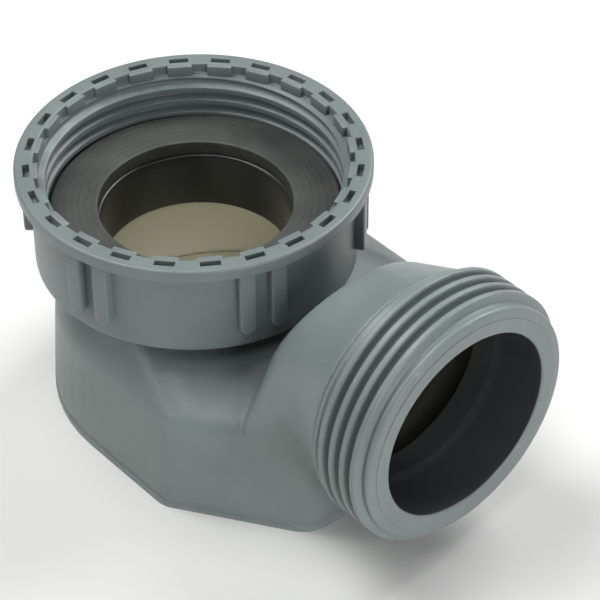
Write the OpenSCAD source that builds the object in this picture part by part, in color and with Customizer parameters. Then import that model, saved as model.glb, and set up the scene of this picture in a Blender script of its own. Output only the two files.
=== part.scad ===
// Sink drain elbow: a moulded elbow chamber with a welded base, a side outlet spigot,
// a captive union nut round the inlet and a flat sealing washer on the inlet flange.
// Millimetres, +Z up. The origin is on the inlet axis, on the underside of the base.
// +X points out of the outlet.

/* [Chamber] */
// Width of the chamber at its foot
chamber_w = 68; // [62:0.5:76]
// Distance from the inlet axis back to the rear wall
chamber_rear = 31.5; // [28:0.1:34]
// Distance from the inlet axis to where the side walls start to taper
taper_start = 25; // [18:0.5:28]
// Radius of the soft corner where the side walls start to taper
taper_corner_r = 6; // [3:0.5:9]
// Distance the taper's corner moves forward from the foot to the ridge
taper_lean = 2.4; // [0:0.1:4]
// Distance from the inlet axis to the front wall
chamber_front = 49.3; // [46:0.1:53]
// Width of the front wall between its rounded corners
front_w = 27; // [20:0.5:34]
// Radius of the front corners in plan
front_corner_r = 8; // [5:0.5:10]
// Height of the ridge where the side walls turn into the shoulder
ridge_z = 23.6; // [21:0.1:25]
// Radius of the soft edge along the ridge
ridge_r = 5; // [3:0.5:7]
// Angle that the soft edge along the ridge turns through, in degrees
ridge_sweep = 68; // [55:1:75]
// Inward lean of the side walls from the foot to the ridge
wall_draft = 1.1; // [0.4:0.1:2]
// Wall thickness of the mouldings
wall_t = 2.8; // [2.2:0.1:3.2]

/* [Base] */
// Thickness of the welded base plate
base_t = 2.6; // [2:0.1:3.5]
// Visible height of the base plate's rim below the weld line
weld_line_z = 1.3; // [0.8:0.1:1.8]
// Height of the rib that locates the base plate inside the chamber
base_rib_h = 2.4; // [1.5:0.1:4]
// Thickness of the locating rib
base_rib_t = 1.8; // [1.2:0.1:2.4]

/* [Inlet] */
// Height of the inlet flange's sealing face above the foot
inlet_z = 40.1; // [39:0.1:43]
// Width of the inlet flange's sealing face, from the inlet's bore to the flange's rim
inlet_face_w = 9.4; // [8.5:0.1:10]
// Thickness of the inlet flange
inlet_flange_t = 3; // [2.4:0.1:3.6]
// Height at which the shoulder meets the neck
shoulder_z = 30.4; // [29:0.1:31]
// Width of the flat round the foot of the neck
shoulder_flat = 1; // [0.5:0.1:2]

/* [Outlet] */
// Height of the outlet axis above the foot
outlet_z = 31.9; // [30:0.1:34]
// Sideways offset of the outlet axis from the inlet axis
outlet_offset = 3.9; // [0:0.1:6]
// Distance from the inlet axis to the outlet's front face
outlet_reach = 70.5; // [66:0.5:80]
// Bore of the outlet
outlet_bore = 37.6; // [35:0.1:38.5]
// Depth of the outlet bore from the front face
outlet_bore_depth = 17; // [14.5:0.1:18]
// Wall of the spigot between its bore and the root of its thread
outlet_wall = 4.8; // [4:0.1:5.5]
// Depth of the outlet's thread
outlet_thread_depth = 1.7; // [1.2:0.1:1.8]
// Pitch of the outlet's thread
outlet_pitch = 2.75; // [2.5:0.05:3.2]
// Distance from the front face back to the outlet thread's first crest
outlet_first_crest = 2.8; // [2.5:0.1:3.4]
// Length of the threaded spigot behind the front face
outlet_thread_l = 14.2; // [11:0.1:15]
// Length of the bevel at the spigot's mouth
outlet_lead = 1.1; // [0.6:0.1:1.2]
// Width of the spigot's flat face round the bore
outlet_face_w = 3.2; // [2.4:0.1:4]
// How much smaller the collar is at its rear than at the thread, in radius
collar_taper = 3.6; // [2:0.1:5]
// Radius of the soft edge round the collar's rear
collar_round_r = 9.1; // [6:0.1:11]
// Lean of the collar's rear away from the nut, in degrees
collar_lean = 26; // [20:1:30]
// Gap from the nut's skirt to the collar's rear, at the height of the outlet axis
nut_room = 3; // [2.5:0.1:4.5]
// Distance from the inlet axis to the rear edge of the flanks under the collar
flank_x = 37.9; // [36:0.1:40]
// How far the flanks stand out of the side walls at the ridge
flank_out = 0.8; // [0.4:0.1:1.2]
// How far the web under the collar reaches out of the front wall
web_reach = 3.5; // [1:0.5:6]

/* [Union nut] */
// Overall height of the nut
nut_h = 21.1; // [19:0.1:24]
// Bore of the nut across the thread's crests
nut_thread_d = 56; // [55:0.1:57]
// Depth of the nut's thread
nut_thread_depth = 1.4; // [1:0.1:1.6]
// Pitch of the nut's thread
nut_pitch = 2.9; // [2.6:0.05:3.2]
// Wall of the nut's skirt outside the root of the thread
nut_wall = 1.6; // [1.2:0.1:2]
// How far the nut's top flange stands out of the skirt
nut_flange_out = 2.7; // [2.2:0.1:3]
// Thickness of the nut's top flange
nut_flange_t = 2.6; // [2:0.1:4]
// Thickness of the lip that holds the nut under the inlet flange
nut_lip_t = 4.4; // [3:0.1:5]
// Radial step from the root of the thread out to the nut's open mouth
nut_mouth_out = 0.7; // [0.5:0.1:1]
// Depth of the open mouth, down to the first crest of the thread
nut_mouth_depth = 2; // [1.5:0.1:2.5]
// Number of pockets round the top flange
pocket_count = 24; // [12:4:28]
// Length of each pocket along the rim
pocket_l = 3.8; // [2.5:0.1:4.2]
// Width of each pocket
pocket_w = 1.3; // [0.8:0.1:1.4]
// Depth of each pocket
pocket_depth = 1.7; // [1:0.1:1.9]
// Wall between each pocket and the mouth
pocket_wall = 1.5; // [1:0.1:1.6]
// Wall at each end of a pocket
pocket_end = 0.5; // [0.4:0.1:1]
// Angle of the first pocket about the inlet axis
pocket_start = 11; // [0:0.5:30]
// Number of pairs of grip ribs round the skirt
rib_pairs = 6; // [3:1:8]
// Width of each grip rib
rib_w = 3.2; // [2:0.1:4]
// Distance between the two ribs of a pair
rib_pitch = 5.9; // [5:0.1:8]
// How far the ribs stand out of the skirt
rib_out = 1.8; // [1:0.1:2.2]
// Height of the ribs' rounded ends above the nut's lower edge
rib_foot = 4; // [2:0.1:5]
// Angle of the first pair of ribs about the inlet axis
rib_start = -17; // [-60:0.5:60]

/* [Washer] */
// Thickness of the sealing washer
washer_t = 3; // [2:0.1:4]

/* [Clearances] */
// Radial gap between the inlet flange and the crests of the nut's thread
flange_gap = 0.4; // [0.3:0.05:0.8]
// Radial gap between the sealing washer and the crests of the nut's thread
washer_gap = 0.5; // [0.3:0.05:1]
// Radial step from the inlet's bore out to the washer's hole
washer_step = 0.35; // [0.2:0.05:0.8]
// Gap between the nut's lip and the inlet flange
lip_gap = 0.3; // [0.2:0.05:0.5]
// Radial gap between the nut's lip and the neck
neck_gap = 0.6; // [0.4:0.05:1]
// Gap between the base plate's locating rib and the chamber wall
rib_gap = 0.25; // [0.2:0.05:0.5]

/* [Threads] */
// Width of the threads' crests
crest_w = 0.5; // [0.3:0.1:0.6]
// Half of the angle between the threads' flanks
flank_angle = 27.5; // [22:0.5:27.5]

/* [Hidden] */
$fn = 96;
eps = 0.01;
// Depth that ribs, tabs and the neck are seated in what carries them
seat = 0.6;
// Broken edge round the nut's rim and foot
edge_break = 0.5;
// Share of an inset that moves the front corners towards the middle
corner_shift = 0.4;
// Steps along each rounded corner of the plan outline
corner_steps = 7;
// Steps along the chamber's round rear
rear_steps = 28;
// Steps over the soft edge along the ridge
ridge_steps = 4;

half_w = chamber_w / 2;
// The rear of the plan is a half circle on the outlet's centre plane
rear_x = half_w - chamber_rear;
inlet_flange_d = nut_thread_d - 2 * flange_gap;
inlet_bore = inlet_flange_d - 2 * inlet_face_w;
neck_r = inlet_bore / 2 + wall_t;
washer_d = nut_thread_d - 2 * washer_gap;
washer_hole = inlet_bore + 2 * washer_step;
flange_under_z = inlet_z - inlet_flange_t;
nut_z = flange_under_z - lip_gap - nut_lip_t;
nut_root_r = nut_thread_d / 2 + nut_thread_depth;
nut_mouth_r = nut_root_r + nut_mouth_out;
nut_skirt_r = nut_root_r + nut_wall;
nut_flange_r = nut_skirt_r + nut_flange_out;
thread_x = outlet_reach - outlet_thread_l;
bore_end_x = outlet_reach - outlet_bore_depth;
thread_root_r = outlet_bore / 2 + outlet_wall;
collar_r = thread_root_r - collar_taper;
collar_rear_x = nut_skirt_r + nut_room;
olive_grey = [0.47, 0.51, 0.49];
nut_grey = [0.44, 0.49, 0.48];
rubber_black = [0.09, 0.09, 0.09];

// Points of an arc from angle a0 to a1
function arc(cx, cy, r, a0, a1, steps) =
    [for (i = [0 : steps]) let (a = a0 + (a1 - a0) * i / steps) [cx + r * cos(a), cy + r * sin(a)]];

// Turn of the side wall at the taper, for a taper that starts at x
function taper_turn(x) =
    atan2(half_w - front_w / 2 - front_corner_r, chamber_front - front_corner_r - x);

// Half width of the tapered side wall at x
function taper_half_w(x) = half_w - (x - taper_start) * tan(taper_turn(taper_start));

// Half of the plan outline, from the taper's corner to the front wall's middle
function half_outline(inset, forward) =
    let (
        side = half_w - inset,
        start = taper_start + forward,
        turn = taper_turn(start),
        soft = taper_corner_r,
        fx = chamber_front - inset - front_corner_r,
        fy = front_w / 2 - inset * corner_shift
    )
    concat(
        arc(start - soft * tan(turn / 2), side - soft, soft, 90, 90 - turn, corner_steps),
        arc(fx, fy, front_corner_r, 90 - turn, 0, corner_steps)
    );

// Plan outline of the chamber, drawn inwards by inset, about the outlet's centre plane
function outline(inset, forward = 0) =
    let (
        h = half_outline(inset, forward),
        n = len(h),
        rear = arc(rear_x, 0, half_w - inset, 90, 270, rear_steps),
        pts = concat(rear, [for (p = h) [p[0], -p[1]]], [for (i = [0 : n - 1]) h[n - 1 - i]])
    )
    [for (p = pts) [p[0], p[1] + outlet_offset]];

// Points of a thread's teeth, drawn as rings, for crests at the given places along its axis
function teeth(root_r, crest_r, crests) =
    let (slope = abs(crest_r - root_r) * tan(flank_angle))
    [for (c = crests) each [
        [root_r, c - crest_w / 2 - slope], [crest_r, c - crest_w / 2],
        [crest_r, c + crest_w / 2], [root_r, c + crest_w / 2 + slope]
    ]];

// One thin slice of the chamber's outline
module slice(inset, z, forward = 0) {
    translate([0, 0, z]) linear_extrude(height = eps) polygon(outline(inset, forward));
}

// Chamber with a soft ridge and a shoulder that rises to the neck, drawn inwards by gap
module chamber_form(gap, foot_z) {
    ridge = ridge_r - gap * corner_shift;
    hull() {
        slice(gap, foot_z);
        for (i = [0 : ridge_steps]) {
            a = ridge_sweep * i / ridge_steps;
            slice(gap + wall_draft + ridge * (1 - cos(a)), ridge_z - gap - ridge + ridge * sin(a),
                  taper_lean);
        }
        translate([0, 0, shoulder_z - gap])
            cylinder(r = neck_r + shoulder_flat - gap, h = eps, $fn = 48);
    }
}

// Round bar along the outlet axis, from x0 to x1
module outlet_bar(r, x0, x1) {
    translate([x0, outlet_offset, outlet_z]) rotate([0, 90, 0]) cylinder(r = r, h = x1 - x0);
}

// Soft rear edge of the collar, leaning away from the nut, drawn inwards by inset
module collar_edge(inset = 0) {
    translate([collar_rear_x + collar_round_r, outlet_offset, outlet_z])
        rotate([0, 90 + collar_lean, 0]) rotate_extrude($fn = 56)
            translate([collar_r - collar_round_r, 0]) circle(r = collar_round_r - inset, $fn = 24);
}

// Smooth collar from its soft rear edge to its end at front_x, drawn inwards by inset
module collar_form(inset, front_x) {
    hull() {
        collar_edge(inset);
        outlet_bar(thread_root_r - inset, front_x - 1, front_x);
    }
}

// Front of the chamber's outline ahead of the flanks' rear edge, with the flanks moved out
module front_slice(z, out) {
    rear_y = taper_half_w(flank_x) + out;
    turn = taper_turn(taper_start);
    corner = arc(chamber_front - front_corner_r, front_w / 2, front_corner_r, 0, 90 - turn, corner_steps);
    half = concat(corner, [[flank_x, rear_y]]);
    n = len(half);
    translate([0, outlet_offset, z]) linear_extrude(height = eps)
        polygon(concat(half, [for (i = [1 : n]) [half[n - i][0], -half[n - i][1]]]));
}

// Web that blends the collar down into the front and the flanks of the chamber
module front_web() {
    hull() {
        front_slice(weld_line_z, 0);
        front_slice(ridge_z, flank_out);
        collar_edge();
        outlet_bar(collar_r, chamber_front + web_reach - 1, chamber_front + web_reach);
    }
}

// Spigot with its thread drawn as rings and a bevelled mouth, solid up to its axis
module threaded_spigot() {
    first = outlet_reach - outlet_first_crest;
    turns = floor((outlet_thread_l - outlet_first_crest) / outlet_pitch);
    crests = [for (i = [turns - 1 : -1 : 0]) first - i * outlet_pitch];
    translate([0, outlet_offset, outlet_z]) rotate([0, 90, 0]) rotate_extrude() polygon(concat(
        [[0, thread_x], [thread_root_r, thread_x]],
        teeth(thread_root_r, thread_root_r + outlet_thread_depth, crests),
        [[thread_root_r, outlet_reach - outlet_lead], [outlet_bore / 2 + outlet_face_w, outlet_reach],
         [0, outlet_reach]]
    ));
}

// Outside of the moulded elbow
module elbow_outside() {
    chamber_form(0, weld_line_z);
    front_web();
    collar_form(0, thread_x + 1);
    // Neck and inlet flange
    translate([0, 0, shoulder_z - wall_t]) cylinder(r = neck_r, h = flange_under_z - shoulder_z + wall_t + eps);
    translate([0, 0, flange_under_z]) cylinder(d = inlet_flange_d, h = inlet_flange_t);
    threaded_spigot();
}

// Hollow of the moulded elbow
module elbow_hollow() {
    chamber_form(wall_t, -1);
    collar_form(wall_t, bore_end_x - wall_t);
    outlet_bar(thread_root_r - wall_t, bore_end_x - wall_t - eps, bore_end_x);
    // Way down through the neck
    translate([0, 0, shoulder_z - 2 * wall_t]) cylinder(d = inlet_bore, h = inlet_z);
    // Outlet bore
    outlet_bar(outlet_bore / 2, bore_end_x - 1, outlet_reach + 1);
}

module elbow_body() {
    color(olive_grey)
    difference() {
        elbow_outside();
        elbow_hollow();
    }
}

// Base plate with a rim flush with the walls and a rib that locates it inside them
module base_plate() {
    // The rib keeps its gap where the walls lean in
    rib_inset = wall_t + rib_gap + wall_draft / 2;
    color(olive_grey)
    union() {
        linear_extrude(height = weld_line_z) polygon(outline(0));
        translate([0, 0, weld_line_z - eps])
            linear_extrude(height = base_t - weld_line_z + eps) polygon(outline(wall_t + rib_gap));
        translate([0, 0, base_t - eps])
            linear_extrude(height = base_rib_h) difference() {
                polygon(outline(rib_inset));
                polygon(outline(rib_inset + base_rib_t));
            }
    }
}

module sealing_washer() {
    color(rubber_black)
    translate([0, 0, inlet_z]) difference() {
        cylinder(d = washer_d, h = washer_t);
        translate([0, 0, -1]) cylinder(d = washer_hole, h = washer_t + 2);
    }
}

// Profile of the nut without its pockets and ribs, turned about the inlet axis
module nut_shell() {
    lip_r = neck_r + neck_gap;
    crest_r = nut_thread_d / 2;
    ledge = nut_h - nut_mouth_depth;
    slope = nut_thread_depth * tan(flank_angle);
    // The mouth cuts into the first crest, and the last is clear above the washer
    washer_top = inlet_z + washer_t - nut_z;
    turns = floor((ledge - washer_top) / nut_pitch);
    bore = teeth(nut_root_r, crest_r, [for (i = [turns : -1 : 1]) ledge - i * nut_pitch]);
    n = len(bore);
    rotate_extrude() polygon(concat(
        [[lip_r, 0], [nut_skirt_r - edge_break, 0], [nut_skirt_r, edge_break],
         [nut_skirt_r, nut_h - nut_flange_t], [nut_flange_r, nut_h - nut_flange_t],
         [nut_flange_r, nut_h - edge_break], [nut_flange_r - edge_break, nut_h],
         [nut_mouth_r, nut_h], [nut_mouth_r, ledge],
         [crest_r, ledge], [crest_r, ledge - crest_w / 2], [nut_root_r, ledge - crest_w / 2 - slope]],
        [for (i = [n - 1 : -1 : 0]) bore[i]],
        [[nut_root_r, nut_lip_t], [lip_r, nut_lip_t]]
    ));
}

// Small wall behind each pocket, standing into the mouth
module pocket_tab() {
    translate([nut_mouth_r + seat - pocket_wall, -pocket_l / 2 - pocket_end, nut_h - nut_mouth_depth - seat / 2])
        cube([pocket_wall, pocket_l + 2 * pocket_end, nut_mouth_depth + seat / 2]);
}

module pocket() {
    translate([nut_mouth_r + seat, -pocket_l / 2, nut_h - pocket_depth])
        cube([pocket_w, pocket_l, pocket_depth + 1]);
}

// One upright grip rib with a rounded lower end, seated in the skirt
module grip_rib() {
    rib_top = nut_h - nut_flange_t + seat / 4;
    intersection() {
        translate([0, 0, rib_foot]) difference() {
            cylinder(r = nut_skirt_r + rib_out, h = rib_top - rib_foot);
            translate([0, 0, -1]) cylinder(r = nut_skirt_r - seat, h = nut_h);
        }
        rotate([90, 0, 90]) linear_extrude(height = nut_skirt_r + rib_out + 1) union() {
            translate([0, rib_foot + rib_w / 2]) circle(d = rib_w, $fn = 32);
            translate([-rib_w / 2, rib_foot + rib_w / 2]) square([rib_w, nut_h]);
        }
    }
}

module union_nut() {
    pocket_step = 360 / pocket_count;
    pair_step = 360 / rib_pairs;
    half_pair = asin(rib_pitch / 2 / nut_skirt_r);
    color(nut_grey)
    translate([0, 0, nut_z]) difference() {
        union() {
            nut_shell();
            for (i = [0 : pocket_count - 1]) rotate(pocket_start + i * pocket_step) pocket_tab();
            for (i = [0 : rib_pairs - 1], side = [-1, 1])
                rotate(rib_start + i * pair_step + side * half_pair) grip_rib();
        }
        for (i = [0 : pocket_count - 1]) rotate(pocket_start + i * pocket_step) pocket();
    }
}

elbow_body();
base_plate();
sealing_washer();
union_nut();
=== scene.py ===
"""Looks of a moulded sink drain elbow: chamber, threaded outlet, union nut, flat washer and welded base."""

import math

import bmesh
import bpy
from mathutils import Matrix, Vector


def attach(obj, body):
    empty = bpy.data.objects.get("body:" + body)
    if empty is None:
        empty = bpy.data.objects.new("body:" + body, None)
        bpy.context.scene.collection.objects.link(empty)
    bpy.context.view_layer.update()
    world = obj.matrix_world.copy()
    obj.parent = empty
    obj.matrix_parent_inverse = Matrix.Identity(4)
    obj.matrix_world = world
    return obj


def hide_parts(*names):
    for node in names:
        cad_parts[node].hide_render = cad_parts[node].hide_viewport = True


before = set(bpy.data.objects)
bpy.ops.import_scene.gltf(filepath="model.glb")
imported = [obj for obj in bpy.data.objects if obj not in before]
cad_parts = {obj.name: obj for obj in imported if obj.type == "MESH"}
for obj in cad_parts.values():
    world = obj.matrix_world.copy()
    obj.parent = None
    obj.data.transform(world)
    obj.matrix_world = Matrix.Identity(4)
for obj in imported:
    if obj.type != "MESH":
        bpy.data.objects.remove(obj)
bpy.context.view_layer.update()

MM = 0.001
# The outlet's axis runs along X at this side offset and height
OUTLET_Y = 3.9 * MM
OUTLET_Z = 31.9 * MM
OUTLET_FACE_X = 70.5 * MM
OUTLET_BORE_R = 18.8 * MM
# The bore narrows to a seat in its rear half
BORE_SEAT_R = 18.4 * MM
BORE_SEAT_X = 59.0 * MM
OUTLET_ROOT_R = 23.6 * MM
OUTLET_CREST_R = 25.3 * MM
OUTLET_PITCH = 2.75 * MM
# The flat face ends in a fine step, and a rim falls away from there to the thread
FACE_EDGE_R = 21.75 * MM
OUTLET_RIM_R = 23.2 * MM
# Where a crest crosses the outlet's left-hand side, and the turns from there to the thread's ends
OUTLET_CREST_X = 67.7 * MM
OUTLET_FIRST_TURN = -4.2
OUTLET_LAST_TURN = 0.27
# Where the moulded body ends and the threaded spigot begins
SPIGOT_X = 56.2 * MM
SPIGOT_SEAT_X = 53.5 * MM
SPIGOT_SEAT_R = 20.8 * MM
SPIGOT_SEAT_LENGTH = 6 * MM
# Wall behind the spigot: where it starts, reaches its full height and ends
COLLAR_WALL_START = 47.4 * MM
COLLAR_WALL_FULL = 50.5 * MM
COLLAR_WALL_END = 53.3 * MM
COLLAR_WALL_R = 19.9 * MM
# Grid on which the moulding's surface is redrawn before it is softened
SURFACE_GRID = 0.62 * MM

INLET_BORE_R = 18.2 * MM
INLET_TUBE_R = 18.8 * MM
INLET_TUBE_LOW = 28.5 * MM

NUT_BOTTOM = 32.4 * MM
NUT_TOP = 53.5 * MM
NUT_FLANGE_R = 33.7 * MM
NUT_SKIRT_R = 31.0 * MM
NUT_MOUTH_R = 30.1 * MM
NUT_CREST_R = 28.0 * MM
NUT_ROOT_R = 29.4 * MM
NUT_LIP_R = 21.6 * MM
NUT_PITCH = 2.9 * MM
NUT_THREAD_LOW = 42.2 * MM
# Foot of the thread's plain wall, and where a crest crosses the far side below the rim
NUT_THREAD_FOOT = 40.6 * MM
NUT_CREST_DEPTH = 4.8 * MM
NUT_CREST_TURN = 139
NUT_FLANGE_THICK = 2.6 * MM
NUT_MOUTH_DEPTH = 2.1 * MM
NUT_LIP_THICK = 4.4 * MM
# Pockets in the rim and the tabs inside them, each with its size and the radius of its middle
POCKETS = 24
POCKET_START = 11.0
POCKET_SIZE = (1.3 * MM, 3.8 * MM, 3.4 * MM)
POCKET_R = 31.35 * MM
TAB_SIZE = (1.5 * MM, 4.8 * MM, 2.3 * MM)
TAB_R = 29.95 * MM
RIB_PAIRS = 6
RIB_START = -17.0
RIB_PITCH = 5.9 * MM
RIB_WIDTH = 3.2 * MM
RIB_OUT = 1.8 * MM
RIB_FOOT = 4.0 * MM

# The weld between the plate and the walls, the plate's rim below it and the cut above it
WELD_Z = 1.3 * MM
RIM_TOP_Z = 1.4 * MM
FOOT_CUT_Z = 2.1 * MM

WASHER_LOW = 40.1 * MM
WASHER_HIGH = 43.1 * MM
WASHER_HOLE_R = 18.55 * MM
WASHER_R = 27.5 * MM


def ease(t):
    """Smooth step from 0 to 1."""
    t = max(0.0, min(1.0, t))
    return t * t * (3 - 2 * t)


def as_piece(name, bm, body, material, *, smooth_angle=40):
    """Turns a bmesh into a finished piece that rides on a body."""
    bmesh.ops.recalc_face_normals(bm, faces=bm.faces)
    mesh = bpy.data.meshes.new(name)
    bm.to_mesh(mesh)
    bm.free()
    piece = bpy.data.objects.new(name, mesh)
    bpy.context.scene.collection.objects.link(piece)
    mesh.materials.append(material)
    shade(piece, smooth_angle)
    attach(piece, body)
    return piece


def shade(piece, angle):
    """Smooth shading that keeps edges sharper than the angle."""
    mesh = piece.data
    mesh.polygons.foreach_set("use_smooth", [True] * len(mesh.polygons))
    mesh.set_sharp_from_angle(angle=math.radians(angle))


def helper(name, bm):
    """An object for a boolean step, dropped once the step is applied."""
    mesh = bpy.data.meshes.new(name)
    bm.to_mesh(mesh)
    bm.free()
    made = bpy.data.objects.new(name, mesh)
    bpy.context.scene.collection.objects.link(made)
    return made


def join_into(target, part):
    """Adds one bmesh to another."""
    mesh = bpy.data.meshes.new("part")
    part.to_mesh(mesh)
    part.free()
    target.from_mesh(mesh)
    bpy.data.meshes.remove(mesh)


def add_shapes(piece, shapes):
    """Joins helper shapes to the piece, or cuts them out of it, once it is settled."""
    for kind, shape in shapes:
        step = piece.modifiers.new(kind, "BOOLEAN")
        step.operation = kind
        step.object = shape
        step.solver = "EXACT"


def drop_shapes(shapes):
    """Deletes the helper shapes of a settled piece."""
    for _, shape in shapes:
        bpy.data.objects.remove(shape)


def settle(piece):
    """Applies the piece's modifiers to its mesh."""
    bpy.context.view_layer.update()
    graph = bpy.context.evaluated_depsgraph_get()
    mesh = bpy.data.meshes.new_from_object(piece.evaluated_get(graph), depsgraph=graph)
    old = piece.data
    piece.modifiers.clear()
    piece.data = mesh
    bpy.data.meshes.remove(old)
    return piece


def turned(profile, axis, centre, steps):
    """A ring turned from a closed profile of (radius, height) points about an axis."""
    bm = bmesh.new()
    along = Vector(axis)
    side = Vector((0, 0, 1)) if abs(along.z) < 0.5 else Vector((1, 0, 0))
    verts = [bm.verts.new(Vector(centre) + side * r + along * h) for r, h in profile]
    edges = [bm.edges.new((a, b)) for a, b in zip(verts, verts[1:] + verts[:1])]
    bmesh.ops.spin(
        bm, geom=verts + edges, cent=centre, axis=along, angle=math.tau, steps=steps, use_merge=True
    )
    bmesh.ops.remove_doubles(bm, verts=bm.verts, dist=1e-7)
    bmesh.ops.recalc_face_normals(bm, faces=bm.faces)
    return bm


def line(a, b, steps):
    """Points from a towards b, without b."""
    return [(a[0] + (b[0] - a[0]) * i / steps, a[1] + (b[1] - a[1]) * i / steps) for i in range(steps)]


def corner(centre, radius, start, end, steps):
    """Points of a rounded corner between two angles in degrees."""
    cx, cy = centre
    return [
        (
            cx + radius * math.cos(math.radians(start + (end - start) * i / steps)),
            cy + radius * math.sin(math.radians(start + (end - start) * i / steps)),
        )
        for i in range(steps + 1)
    ]


# Materials


class Finish:
    """A material under construction, with its node tree, shader and the object's own coordinates."""

    def __init__(self, name):
        self.material = bpy.data.materials.new(name)
        self.material.use_nodes = True
        self.tree = self.material.node_tree
        self.shader = self.tree.nodes["Principled BSDF"]
        self.place = self.node("ShaderNodeTexCoord").outputs["Object"]

    def node(self, kind, inputs=None, **settings):
        """A node with its settings; an input is a value, a colour or another node's output."""
        made = self.tree.nodes.new(kind)
        for key, value in settings.items():
            setattr(made, key, value)
        for key, value in (inputs or {}).items():
            if isinstance(value, bpy.types.NodeSocket):
                self.tree.links.new(value, made.inputs[key])
            else:
                made.inputs[key].default_value = value
        return made

    def noise(self, scale, detail, roughness=0.5):
        inputs = {"Vector": self.place, "Scale": scale, "Detail": detail, "Roughness": roughness}
        return self.node("ShaderNodeTexNoise", inputs).outputs["Fac"]

    def spread(self, value, low=0.0, high=1.0, to_low=0.0, to_high=1.0, **settings):
        """The value's range from low to high, drawn out to another range."""
        inputs = {"Value": value, "From Min": low, "From Max": high, "To Min": to_low, "To Max": to_high}
        return self.node("ShaderNodeMapRange", inputs, **settings).outputs["Result"]

    def blend(self, factor, first, second):
        """Goes from the first colour to the second with the factor."""
        inputs = {"Factor": factor, "A": as_colour(first), "B": as_colour(second)}
        return self.node("ShaderNodeMix", inputs, data_type="RGBA").outputs["Result"]

    def bump(self, height, strength, distance, under=None):
        inputs = {"Height": height, "Strength": strength, "Distance": distance}
        if under:
            inputs["Normal"] = under
        return self.node("ShaderNodeBump", inputs).outputs["Normal"]

    def axis(self, name):
        """One of the object's own coordinates, in metres."""
        return self.node("ShaderNodeSeparateXYZ", {"Vector": self.place}).outputs[name]

    def colour(self, socket):
        self.tree.links.new(socket, self.shader.inputs["Base Color"])


def as_colour(value):
    return (*value, 1) if isinstance(value, tuple) else value


def paler(colour, times):
    return tuple(part * times for part in colour)


def moulded_colour(finish, dark, light):
    """Mottled plastic with pale dust and edges rubbed a little paler. Gives the colour and the mottle."""
    mottle = finish.noise(60, 5, 0.6)
    tint = finish.blend(finish.spread(mottle, 0.3, 0.7), dark, light)
    dust = finish.spread(finish.noise(900, 2), 0.70, 0.78, 0, 0.35)
    dusty = finish.blend(dust, tint, paler(light, 1.5))
    edges = finish.node("ShaderNodeNewGeometry").outputs["Pointiness"]
    rubbed = finish.blend(finish.spread(edges, 0.53, 0.62, 0, 0.35), dusty, paler(light, 1.35))
    return rubbed, mottle


def moulded_plastic(name, dark, light):
    """Satin injection-moulded plastic with a faint mottle, flow marks and handling wear."""
    finish = Finish(name)
    colour, mottle = moulded_colour(finish, dark, light)
    dress_moulded(finish, colour, mottle)
    return finish.material


def dress_moulded(finish, colour, mottle):
    """Colour, wandering gloss and a faint relief of grain and flow waves."""
    finish.colour(colour)
    gloss = finish.spread(mottle, to_low=SATIN - 0.06, to_high=SATIN + 0.08)
    finish.tree.links.new(gloss, finish.shader.inputs["Roughness"])
    grain = finish.bump(finish.noise(2600, 3), 0.05, 0.2 * MM)
    waves = finish.bump(finish.noise(140, 3), 0.06, 1 * MM, under=grain)
    finish.tree.links.new(waves, finish.shader.inputs["Normal"])


def plate_plastic(name, dark, light):
    """The moulded plastic on the plate's rim and underside, with painted light in cream on its faces in the
    chamber.
    """
    finish = Finish(name)
    colour, mottle = moulded_colour(finish, dark, light)
    inputs = {0: finish.axis("Z"), 1: RIM_TOP_Z}
    painted_light_mask = finish.node("ShaderNodeMath", inputs, operation="GREATER_THAN").outputs["Value"]
    # Painted light: the plate's faces inside the chamber take the cream tint of the light falling in
    # through the inlet
    dress_moulded(finish, finish.blend(painted_light_mask, colour, PAINTED_LIGHT_DIM), mottle)
    return finish.material


def washer_rubber():
    """Black flat rubber, matt, with faint turned rings and grey bloom."""
    finish = Finish("washer_rubber")
    waves = {"Vector": finish.place, "Scale": 240, "Distortion": 1.5, "Detail": 3, "Detail Scale": 2}
    rings = finish.node("ShaderNodeTexWave", waves, wave_type="RINGS", rings_direction="Z")
    parts = {"Factor": 0.12, "A": finish.noise(110, 6), "B": rings.outputs["Fac"]}
    both = finish.node("ShaderNodeMix", parts, data_type="FLOAT").outputs["Result"]
    finish.colour(finish.blend(finish.spread(both, 0.3, 0.75), RUBBER_BLACK, RUBBER_BLOOM))
    finish.shader.inputs["Roughness"].default_value = 0.62
    relief = finish.bump(both, 0.12, 0.2 * MM)
    finish.tree.links.new(relief, finish.shader.inputs["Normal"])
    return finish.material


def painted_shade_plastic(name, dark, light):
    """The same plastic, polished and darkened with painted shade: the inlet tube and the outlet bore."""
    finish = Finish(name)
    finish.colour(finish.blend(finish.noise(90, 3), dark, light))
    finish.shader.inputs["Roughness"].default_value = 0.3
    return finish.material


def chamber_painted_light(name):
    """Painted light on the chamber's inner faces: a cream tint for the light falling in through the inlet,
    fading to painted shade towards the collar.
    """
    finish = Finish(name)
    painted_light_tint = finish.blend(finish.noise(45, 4), PAINTED_LIGHT_DIM, PAINTED_LIGHT_BRIGHT)
    painted_light_start = PAINTED_LIGHT_END_X - 16 * MM
    # Painted shade: the inner faces go near black towards the outlet's collar
    into_painted_shade = finish.spread(finish.axis("X"), painted_light_start, PAINTED_LIGHT_END_X, interpolation_type="SMOOTHSTEP")
    finish.colour(finish.blend(into_painted_shade, painted_light_tint, (0.045, 0.045, 0.034)))
    finish.shader.inputs["Roughness"].default_value = 0.5
    return finish.material


# Middle roughness of the moulded plastic
SATIN = 0.42
# Cream tint of the painted light inside the chamber and on the plate's inner face
PAINTED_LIGHT_DIM = (0.72, 0.70, 0.56)
PAINTED_LIGHT_BRIGHT = (0.84, 0.83, 0.70)
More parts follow.
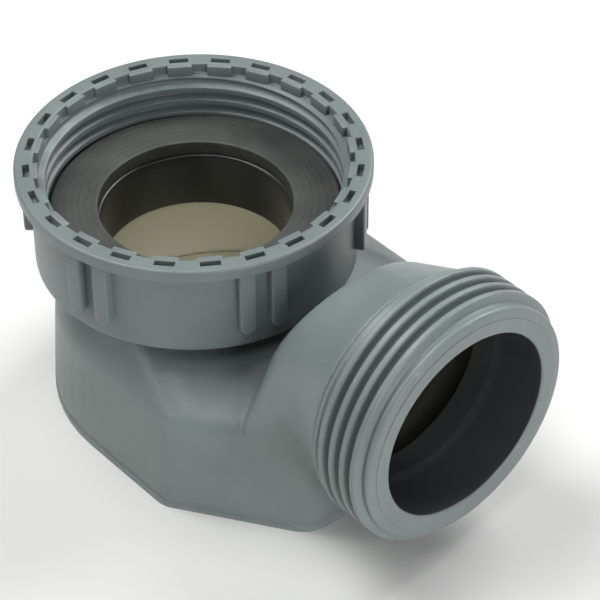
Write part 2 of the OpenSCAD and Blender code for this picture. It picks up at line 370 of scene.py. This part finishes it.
# Where the painted light on the chamber's inner faces ends, towards the outlet
PAINTED_LIGHT_END_X = 42 * MM
RUBBER_BLACK = (0.028, 0.030, 0.028)
RUBBER_BLOOM = (0.060, 0.064, 0.060)
ELBOW_DARK = (0.150, 0.184, 0.178)
ELBOW_LIGHT = (0.186, 0.224, 0.218)
elbow_plastic = moulded_plastic("elbow_plastic", ELBOW_DARK, ELBOW_LIGHT)
nut_plastic = moulded_plastic("nut_plastic", (0.138, 0.168, 0.165), (0.170, 0.205, 0.200))
base_plastic = plate_plastic("base_plastic", ELBOW_DARK, ELBOW_LIGHT)
rubber = washer_rubber()
# Painted shade inside the outlet bore and the inlet tube
bore_painted_shade = painted_shade_plastic("painted_shade_plastic", (0.045, 0.048, 0.056), (0.062, 0.066, 0.074))
inlet_painted_shade = painted_shade_plastic("inlet_shade_plastic", (0.018, 0.019, 0.020), (0.028, 0.029, 0.030))
painted_light_inside = chamber_painted_light("chamber_painted_light")


# Moulded elbow body


def elbow_shell():
    """The chamber, neck, flange and collar, softened into one moulding with small fillets."""
    bm = bmesh.new()
    bm.from_mesh(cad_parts["elbow_body"].data)
    bmesh.ops.remove_doubles(bm, verts=bm.verts, dist=1e-6)
    cut = bmesh.ops.bisect_plane(
        bm,
        geom=bm.verts[:] + bm.edges[:] + bm.faces[:],
        plane_co=(SPIGOT_X, 0, 0),
        plane_no=(1, 0, 0),
        clear_outer=True,
    )
    rim = [e for e in cut["geom_cut"] if isinstance(e, bmesh.types.BMEdge)]
    bmesh.ops.triangle_fill(bm, use_beauty=True, use_dissolve=False, edges=rim)
    shell = as_piece("elbow_shell", bm, "elbow", elbow_plastic)
    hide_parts("elbow_body")
    # Room for the spigot's own bore
    bore = bmesh.new()
    bmesh.ops.create_cone(
        bore,
        cap_ends=True,
        segments=128,
        radius1=SPIGOT_SEAT_R,
        radius2=SPIGOT_SEAT_R,
        depth=SPIGOT_SEAT_LENGTH,
        matrix=Matrix.Translation((SPIGOT_SEAT_X - 0.6 * MM + SPIGOT_SEAT_LENGTH / 2, OUTLET_Y, OUTLET_Z))
        @ Matrix.Rotation(math.pi / 2, 4, "Y"),
    )
    shapes = [("DIFFERENCE", helper("cutter", bore)), ("UNION", helper("wall", collar_wall()))]
    add_shapes(shell, shapes)
    even = shell.modifiers.new("even", "REMESH")
    even.mode = "VOXEL"
    even.voxel_size = SURFACE_GRID
    soft = shell.modifiers.new("soft", "SMOOTH")
    soft.factor = 0.5
    soft.iterations = 8
    settle(shell)
    drop_shapes(shapes)
    square_foot(shell.data)
    shade(shell, 180)
    shell.data.set_sharp_from_angle(angle=math.radians(60))
    shell.data.materials.append(inlet_painted_shade)
    shell.data.materials.append(painted_light_inside)
    finish_inside(shell.data)
    return shell


def square_foot(mesh):
    """Cuts the softened foot off and draws the walls straight down to the weld."""
    bm = bmesh.new()
    bm.from_mesh(mesh)
    cut = bmesh.ops.bisect_plane(
        bm,
        geom=bm.verts[:] + bm.edges[:] + bm.faces[:],
        plane_co=(0, 0, FOOT_CUT_Z),
        plane_no=(0, 0, 1),
        clear_inner=True,
    )
    loops = [e for e in cut["geom_cut"] if isinstance(e, bmesh.types.BMEdge)]
    made = bmesh.ops.extrude_edge_only(bm, edges=loops)["geom"]
    for v in made:
        if isinstance(v, bmesh.types.BMVert):
            v.co.z = WELD_Z
    foot = [e for e in made if isinstance(e, bmesh.types.BMEdge) and e.is_boundary]
    bmesh.ops.triangle_fill(bm, use_beauty=True, use_dissolve=False, edges=foot)
    bmesh.ops.recalc_face_normals(bm, faces=bm.faces)
    bm.to_mesh(mesh)
    bm.free()


def collar_wall():
    """Wall that closes the collar behind the spigot, up to the end of its bore."""
    low, full, end, r = COLLAR_WALL_START, COLLAR_WALL_FULL, COLLAR_WALL_END, COLLAR_WALL_R
    profile = line((r - 1.0 * MM, low), (r, full), 4)
    profile += line((r, full), (r, end), 4)
    profile += line((r + 2.0 * MM, end), (r - 0.3 * MM, low + 0.4 * MM), 6)
    profile += [(r - 0.3 * MM, low + 0.4 * MM), (r - 0.6 * MM, low)]
    return turned(profile, (1, 0, 0), (0, OUTLET_Y, OUTLET_Z), 128)


def at_opening(face):
    """Whether a face lies on the foot, on the inlet flange or on the collar's front edge."""
    place, normal = face.calc_center_median(), face.normal
    foot = place.z < WELD_Z + 0.2 * MM and normal.z < -0.7
    on_inlet = math.hypot(place.x, place.y) < NUT_CREST_R
    flange = on_inlet and place.z > WASHER_LOW - 0.6 * MM and normal.z > 0.7
    front = place.x > SPIGOT_X - 0.8 * MM and normal.x > 0.6
    return foot or flange or front


def finish_inside(mesh):
    """Painted shade on the wall in the inlet tube and painted light inside the chamber, up to the openings'
    edges.
    """
    bm = bmesh.new()
    bm.from_mesh(mesh)
    rear = min(bm.faces, key=lambda f: f.calc_center_median().x)
    outside, ahead = {rear}, [rear]
    while ahead:
        for edge in ahead.pop().edges:
            for face in edge.link_faces:
                if face not in outside:
                    outside.add(face)
                    if not at_opening(face):
                        ahead.append(face)
    for face in bm.faces:
        place = face.calc_center_median()
        in_tube = math.hypot(place.x, place.y) < INLET_TUBE_R and place.z > INLET_TUBE_LOW
        # Slot 1 is the painted shade of the tube, slot 2 the painted light of the chamber
        face.material_index = 0 if face in outside else 1 if in_tube else 2
    bm.to_mesh(mesh)
    bm.free()


def inlet_tube():
    """Polished wall of the inlet with its round upper edge, seated in the moulding."""
    top, edge = WASHER_LOW - 0.02 * MM, 0.5 * MM
    profile = line((INLET_BORE_R, INLET_TUBE_LOW), (INLET_BORE_R, top - edge), 8)
    profile += corner((INLET_BORE_R + edge, top - edge), edge, 180, 90, 5)
    profile += line((INLET_BORE_R + 0.9 * MM, top), (INLET_BORE_R + 1.2 * MM, top - 0.5 * MM), 2)
    profile += [(INLET_BORE_R + 1.2 * MM, INLET_TUBE_LOW), (INLET_BORE_R + 0.6 * MM, INLET_TUBE_LOW)]
    # Painted shade: the tube's wall is darkened for the shade inside it
    tube = as_piece("inlet_tube", turned(profile, (0, 0, 1), (0, 0, 0), 240), "elbow", inlet_painted_shade)
    return tube


def crest_height(angle, along, start, pitch):
    """Rounded crest, 0 at the root and 1 at the crest, of a right-handed thread."""
    phase = ((along - start) / pitch - angle / math.tau) % 1.0
    swing = 0.5 + 0.5 * math.cos(math.tau * phase)
    return ease(min(1.0, swing * 1.25))


def crest_turn(angle, along, start, pitch):
    """How many turns along the thread the nearest crest lies from the start, less than 0 behind it."""
    turn = (angle % math.tau) / math.tau
    return round((along - start) / pitch - turn) + turn


def outlet_spigot():
    """Threaded spigot with its bore, flat face and bevelled mouth."""
    front = OUTLET_FACE_X
    profile = []
    profile += line((BORE_SEAT_R, SPIGOT_SEAT_X), (BORE_SEAT_R, BORE_SEAT_X - 1.2 * MM), 4)
    for i in range(9):
        t = i / 8
        profile.append((
            BORE_SEAT_R + (OUTLET_BORE_R - BORE_SEAT_R) * ease(t),
            BORE_SEAT_X + (t - 0.5) * 2.4 * MM,
        ))
    profile += line((OUTLET_BORE_R, BORE_SEAT_X + 1.6 * MM), (OUTLET_BORE_R, front - 0.45 * MM), 6)
    profile += corner((OUTLET_BORE_R + 0.45 * MM, front - 0.45 * MM), 0.45 * MM, 180, 90, 4)
    # Flat face, a fine step line, then a rim that falls away to the thread
    profile += line((OUTLET_BORE_R + 0.6 * MM, front), (FACE_EDGE_R, front), 3)
    profile += [(FACE_EDGE_R, front), (21.85 * MM, front - 0.16 * MM), (22.0 * MM, front - 0.18 * MM)]
    profile += corner((OUTLET_RIM_R, front - 0.9 * MM), 0.6 * MM, 80, 10, 5)
    profile += line((23.8 * MM, front - 1.2 * MM), (OUTLET_ROOT_R, front - 1.7 * MM), 3)
    profile += line((OUTLET_ROOT_R, front - 1.7 * MM), (OUTLET_ROOT_R, SPIGOT_X), 100)
    profile += [(OUTLET_ROOT_R - 0.1 * MM, SPIGOT_X - 0.15 * MM), (22.4 * MM, SPIGOT_X - 0.6 * MM)]
    profile += [(21.2 * MM, SPIGOT_SEAT_X)]
    bm = turned(profile, (1, 0, 0), (0, OUTLET_Y, OUTLET_Z), 288)
    low, high = SPIGOT_X, front - 1.3 * MM
    for v in bm.verts:
        y, z = v.co.y - OUTLET_Y, v.co.z - OUTLET_Z
        r = math.hypot(y, z)
        if r < OUTLET_RIM_R or not low < v.co.x < high:
            continue
        # Counted from the left-hand side of the outlet
        angle = math.atan2(z, y) - math.pi
        turn = crest_turn(angle, v.co.x, OUTLET_CREST_X, OUTLET_PITCH)
        fade = ease((v.co.x - low) / (0.7 * MM)) * ease((high - v.co.x) / (0.5 * MM))
        # The thread starts below with a blunt end and runs out slowly at the rear
        fade *= ease((OUTLET_LAST_TURN - turn) / 0.02) * ease((turn - OUTLET_FIRST_TURN) / 0.5)
        lift = crest_height(angle, v.co.x, OUTLET_CREST_X, OUTLET_PITCH)
        grow = (OUTLET_CREST_R - OUTLET_ROOT_R) * lift * fade / r
        v.co.y += y * grow
        v.co.z += z * grow
    spigot = as_piece("outlet_spigot", bm, "elbow", elbow_plastic, smooth_angle=50)
    spigot.data.materials.append(bore_painted_shade)
    for face in spigot.data.polygons:
        from_axis = math.hypot(face.center.y - OUTLET_Y, face.center.z - OUTLET_Z)
        # Painted shade: the faces in the bore take the darkened finish
        face.material_index = 1 if from_axis < OUTLET_BORE_R + 0.02 * MM else 0
    return spigot


# Union nut


def nut_ring():
    """The nut's turned body with its internal thread, before pockets and ribs."""
    top, low = NUT_TOP, NUT_BOTTOM
    flange_low = top - NUT_FLANGE_THICK
    ledge = top - NUT_MOUTH_DEPTH
    lip_top = low + NUT_LIP_THICK
    profile = []
    profile += [(NUT_LIP_R, low + 0.2 * MM), (NUT_LIP_R + 0.2 * MM, low)]
    profile += corner((NUT_SKIRT_R - 0.8 * MM, low + 0.8 * MM), 0.8 * MM, -90, 0, 5)
    profile += line((NUT_SKIRT_R, low + 2 * MM), (NUT_SKIRT_R, flange_low - 0.5 * MM), 4)
    profile += corner((NUT_SKIRT_R + 0.4 * MM, flange_low - 0.4 * MM), 0.4 * MM, 180, 90, 3)
    profile += corner((NUT_FLANGE_R - 0.35 * MM, flange_low + 0.35 * MM), 0.35 * MM, -90, 0, 3)
    profile += corner((NUT_FLANGE_R - 0.55 * MM, top - 0.55 * MM), 0.55 * MM, 0, 90, 5)
    profile += [(32.4 * MM, top), (31.2 * MM, top)]
    profile += corner((NUT_MOUTH_R + 0.3 * MM, top - 0.3 * MM), 0.3 * MM, 90, 180, 3)
    profile += [(NUT_MOUTH_R, ledge + 0.2 * MM), (NUT_MOUTH_R - 0.2 * MM, ledge)]
    profile += [(NUT_ROOT_R + 0.1 * MM, ledge)]
    profile += line((NUT_ROOT_R, ledge - 0.2 * MM), (NUT_ROOT_R, NUT_THREAD_FOOT), 72)
    profile += line((NUT_ROOT_R, NUT_THREAD_FOOT), (NUT_ROOT_R, lip_top), 4)
    profile += [(NUT_ROOT_R, lip_top), (NUT_LIP_R, lip_top)]
    bm = turned(profile, (0, 0, 1), (0, 0, 0), 288)
    for v in bm.verts:
        r = math.hypot(v.co.x, v.co.y)
        if not (NUT_THREAD_LOW - 1.5 * MM < v.co.z < ledge - 0.1 * MM and r < NUT_ROOT_R + 0.3 * MM):
            continue
        if r < NUT_CREST_R - 2 * MM:
            continue
        angle = math.atan2(v.co.y, v.co.x)
        above_foot = v.co.z - NUT_THREAD_FOOT - 0.2 * MM
        fade = ease(above_foot / (1.2 * MM)) * ease((ledge - v.co.z) / (1.2 * MM))
        from_crest = angle - math.radians(NUT_CREST_TURN)
        lift = crest_height(from_crest, v.co.z, top - NUT_CREST_DEPTH, NUT_PITCH)
        shrink = (NUT_ROOT_R - NUT_CREST_R) * lift * fade / r
        v.co.x -= v.co.x * shrink
        v.co.y -= v.co.y * shrink
    return bm


def soft_block(size, centre, turn, round_by):
    """A block with rounded edges, turned about the nut's axis."""
    bm = bmesh.new()
    bmesh.ops.create_cube(bm, size=1.0)
    bmesh.ops.scale(bm, vec=size, verts=bm.verts)
    bmesh.ops.bevel(
        bm,
        geom=bm.edges[:],
        offset=round_by,
        offset_type="OFFSET",
        segments=2,
        profile=0.5,
        affect="EDGES",
        material=-1,
    )
    bmesh.ops.translate(bm, vec=centre, verts=bm.verts)
    bmesh.ops.rotate(bm, cent=(0, 0, 0), matrix=Matrix.Rotation(turn, 3, "Z"), verts=bm.verts)
    return bm


def grip_rib(turn):
    """One upright rib with a rounded lower end."""
    tall = NUT_TOP - 2.4 * MM - NUT_BOTTOM - RIB_FOOT
    deep = RIB_OUT + 1.2 * MM
    bm = bmesh.new()
    outline = [(RIB_WIDTH / 2, tall / 2), (-RIB_WIDTH / 2, tall / 2)]
    low = -tall / 2 + RIB_WIDTH / 2
    outline += [
        (-RIB_WIDTH / 2 * math.cos(math.pi * i / 12), low - RIB_WIDTH / 2 * math.sin(math.pi * i / 12))
        for i in range(13)
    ]
    front = bm.faces.new([bm.verts.new((0, y, z)) for y, z in outline])
    made = bmesh.ops.extrude_face_region(bm, geom=[front])
    outer = [v for v in made["geom"] if isinstance(v, bmesh.types.BMVert)]
    bmesh.ops.translate(bm, vec=(deep, 0, 0), verts=outer)
    bmesh.ops.recalc_face_normals(bm, faces=bm.faces)
    rim = [e for e in bm.edges if all(v in outer for v in e.verts)]
    bmesh.ops.bevel(
        bm, geom=rim, offset=0.45 * MM, segments=3, profile=0.5, affect="EDGES", material=-1
    )
    place = Vector((NUT_SKIRT_R - 1.2 * MM, 0, NUT_BOTTOM + RIB_FOOT + tall / 2))
    bmesh.ops.translate(bm, vec=place, verts=bm.verts)
    bmesh.ops.rotate(bm, cent=(0, 0, 0), matrix=Matrix.Rotation(turn, 3, "Z"), verts=bm.verts)
    return bm


def union_nut():
    """Union nut with its tabs, pockets and pairs of grip ribs."""
    ring = helper("ring", nut_ring())
    tabs, pockets, ribs = bmesh.new(), bmesh.new(), bmesh.new()
    for i in range(POCKETS):
        turn = math.radians(POCKET_START + i * 360 / POCKETS)
        join_into(tabs, soft_block(TAB_SIZE, (TAB_R, 0, NUT_TOP - 1.2 * MM), turn, 0.18 * MM))
        join_into(pockets, soft_block(POCKET_SIZE, (POCKET_R, 0, NUT_TOP), turn, 0.15 * MM))
    half_pair = math.asin(RIB_PITCH / 2 / NUT_SKIRT_R)
    for i in range(RIB_PAIRS):
        for side in (-1, 1):
            join_into(ribs, grip_rib(math.radians(RIB_START + i * 360 / RIB_PAIRS) + side * half_pair))
    shapes = [
        ("UNION", helper("tabs", tabs)),
        ("DIFFERENCE", helper("pockets", pockets)),
        ("UNION", helper("ribs", ribs)),
    ]
    add_shapes(ring, shapes)
    settle(ring)
    drop_shapes(shapes)
    ring.name = "grip_nut"
    ring.data.materials.clear()
    ring.data.materials.append(nut_plastic)
    shade(ring, 32)
    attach(ring, "nut")
    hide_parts("union_nut")
    return ring


# Washer and base


def flat_washer():
    """Flat rubber ring with softened rims and a faintly uneven face."""
    low, high = WASHER_LOW, WASHER_HIGH
    edge = 0.3 * MM
    profile = []
    profile += corner((WASHER_HOLE_R + edge, low + edge), edge, 180, 270, 3)
    profile += line((20 * MM, low), (26 * MM, low), 3)
    profile += corner((WASHER_R - edge, low + edge), edge, -90, 0, 3)
    profile += corner((WASHER_R - edge, high - edge), edge, 0, 90, 3)
    profile += line((26.8 * MM, high), (19.4 * MM, high), 12)
    profile += corner((WASHER_HOLE_R + edge, high - edge), edge, 90, 180, 3)
    bm = turned(profile, (0, 0, 1), (0, 0, 0), 240)
    for v in bm.verts:
        if v.co.z > high - 0.05 * MM:
            angle = math.atan2(v.co.y, v.co.x)
            v.co.z -= 0.06 * MM * (1 + math.sin(3 * angle) * math.cos(5 * angle + 1))
    piece = as_piece("flat_washer", bm, "elbow", rubber)
    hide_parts("sealing_washer")
    return piece


def dress_base():
    """The plate is shown as it is, with its own finish."""
    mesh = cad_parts["base_plate"].data
    mesh.materials.clear()
    mesh.materials.append(base_plastic)


elbow_shell()
inlet_tube()
outlet_spigot()
union_nut()
flat_washer()
dress_base()


# Floor, light and camera

FLOOR_WHITE = (0.72, 0.72, 0.71, 1)
# From the lights to the part
LIGHT_RANGE = 0.7
# Angle of the camera's side of the part about Z, measured from +X
CAMERA_TURN = math.radians(-40.94)
CAMERA_RISE = math.radians(40.56)
CAMERA_ROLL = math.radians(-0.44)
CAMERA_RANGE = 476.67 * MM
CAMERA_SHIFT_RIGHT = 19.85 * MM
CAMERA_SHIFT_UP = -26.70 * MM
CAMERA_LENS = 153.06
CAMERA_TARGET = Vector((0, 0, 53.49 * MM))


def studio_floor():
    """Plain matt floor under the part."""
    bm = bmesh.new()
    bmesh.ops.create_grid(bm, x_segments=2, y_segments=2, size=1.5)
    mesh = bpy.data.meshes.new("floor")
    bm.to_mesh(mesh)
    bm.free()
    floor = bpy.data.objects.new("floor", mesh)
    bpy.context.scene.collection.objects.link(floor)
    paper = bpy.data.materials.new("pale_floor")
    paper.use_nodes = True
    surface = paper.node_tree.nodes["Principled BSDF"].inputs
    surface["Base Color"].default_value = FLOOR_WHITE
    surface["Roughness"].default_value = 0.8
    mesh.materials.append(paper)


def towards(turn, rise):
    """Direction of the given turn about Z and rise above the floor."""
    return Vector((math.cos(turn) * math.cos(rise), math.sin(turn) * math.cos(rise), math.sin(rise)))


def photo_camera():
    """Camera placed where the photograph was taken from."""
    back = towards(CAMERA_TURN, CAMERA_RISE)
    right = Vector((-math.sin(CAMERA_TURN), math.cos(CAMERA_TURN), 0))
    up = back.cross(right)
    level_right = right * math.cos(CAMERA_ROLL) + up * math.sin(CAMERA_ROLL)
    level_up = up * math.cos(CAMERA_ROLL) - right * math.sin(CAMERA_ROLL)
    data = bpy.data.cameras.new("camera")
    data.sensor_width = 36
    data.lens = CAMERA_LENS
    data.clip_start, data.clip_end = 0.01, 10
    camera = bpy.data.objects.new("camera", data)
    place = CAMERA_TARGET + back * CAMERA_RANGE
    place += level_right * CAMERA_SHIFT_RIGHT + level_up * CAMERA_SHIFT_UP
    turn = Matrix((level_right, level_up, back)).transposed()
    camera.matrix_world = Matrix.Translation(place) @ turn.to_4x4()
    bpy.context.scene.collection.objects.link(camera)
    bpy.context.scene.camera = camera


def soft_light(name, turn, rise, size, power):
    """Square studio light, turned and raised about the part in degrees, power in watts."""
    data = bpy.data.lights.new(name, "AREA")
    data.shape = "SQUARE"
    data.size = size
    data.energy = power
    lamp = bpy.data.objects.new(name, data)
    back = towards(math.radians(turn), math.radians(rise))
    lamp.location = Vector((0.015, 0, 0.03)) + back * LIGHT_RANGE
    lamp.rotation_mode = "QUATERNION"
    lamp.rotation_quaternion = back.to_track_quat("Z", "Y")
    bpy.context.scene.collection.objects.link(lamp)


def studio():
    studio_floor()
    photo_camera()
    world = bpy.data.worlds.new("studio")
    world.use_nodes = True
    world.node_tree.nodes["Background"].inputs["Color"].default_value = (0.85, 0.88, 0.9, 1)
    world.node_tree.nodes["Background"].inputs["Strength"].default_value = 0.03
    bpy.context.scene.world = world
    soft_light("left_above", -150, 66, 0.35, 3.8)
    soft_light("left_low", -128, 28, 0.25, 1.0)
    soft_light("far_side", 94, 45, 0.35, 4.0)
    soft_light("outlet_side", -5, 12, 0.35, 2.7)
    soft_light("over_camera", -45, 62, 0.2, 0.7)
    bpy.context.scene.view_settings.view_transform = "Standard"


studio()
